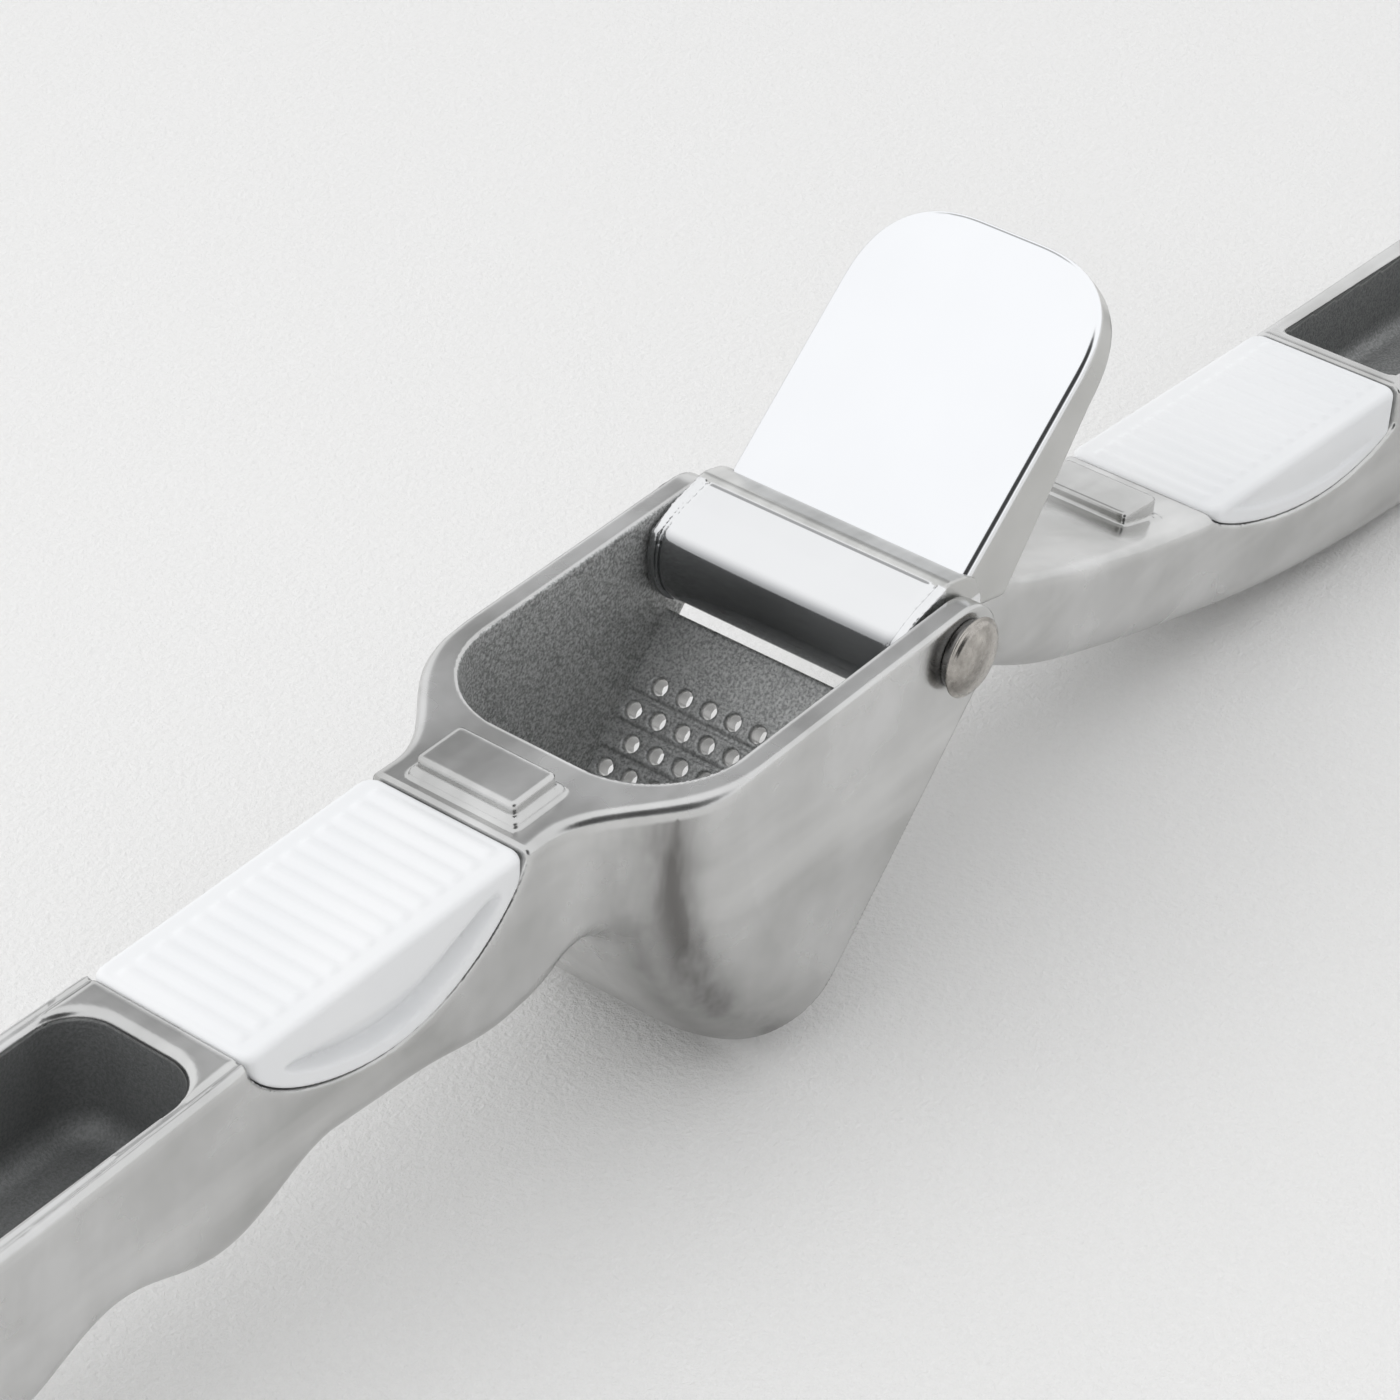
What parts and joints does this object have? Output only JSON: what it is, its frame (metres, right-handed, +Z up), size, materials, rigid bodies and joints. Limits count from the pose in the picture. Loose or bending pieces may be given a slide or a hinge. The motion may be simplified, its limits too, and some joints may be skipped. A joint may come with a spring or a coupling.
{
  "type": "garlic press",
  "caption": "Hinged two-handle press: a wedge hopper with a perforated wall and a swinging piston tile on the lever, ribbed white grips let into both handles.",
  "frame": {"origin": "middle of the opened press's box, on the surface it lies on", "axes": "+X from the hopper's handle to the lever, +Y along the hinge pin to the far cheek, +Z up out of the open hopper"},
  "size_m": [0.3114, 0.038, 0.0605],
  "materials": {
    "cast_alloy": "satin cast outside, mirror polished tile face, sand blasted inside the hopper",
    "grip_plastic": "satin white",
    "pin_steel": "tumbled"
  },
  "bodies": {
    "hopper_side": {"hopper_arm": "cast_alloy", "handle_insert": "grip_plastic", "pivot_pin": "pin_steel", "pin_cap": "pin_steel", "near_washer": "pin_steel", "far_washer": "pin_steel"},
    "lever_side": {"lever_arm": "cast_alloy", "lever_insert": "grip_plastic"}
  },
  "joints": [
    {"name": "hinge", "type": "hinge", "parent": "hopper_side", "child": "lever_side", "pos_m": [0.00208, 0.00022, 0.0349], "axis": [0, -1, 0], "range_deg": [-40, 187]}
  ]
}
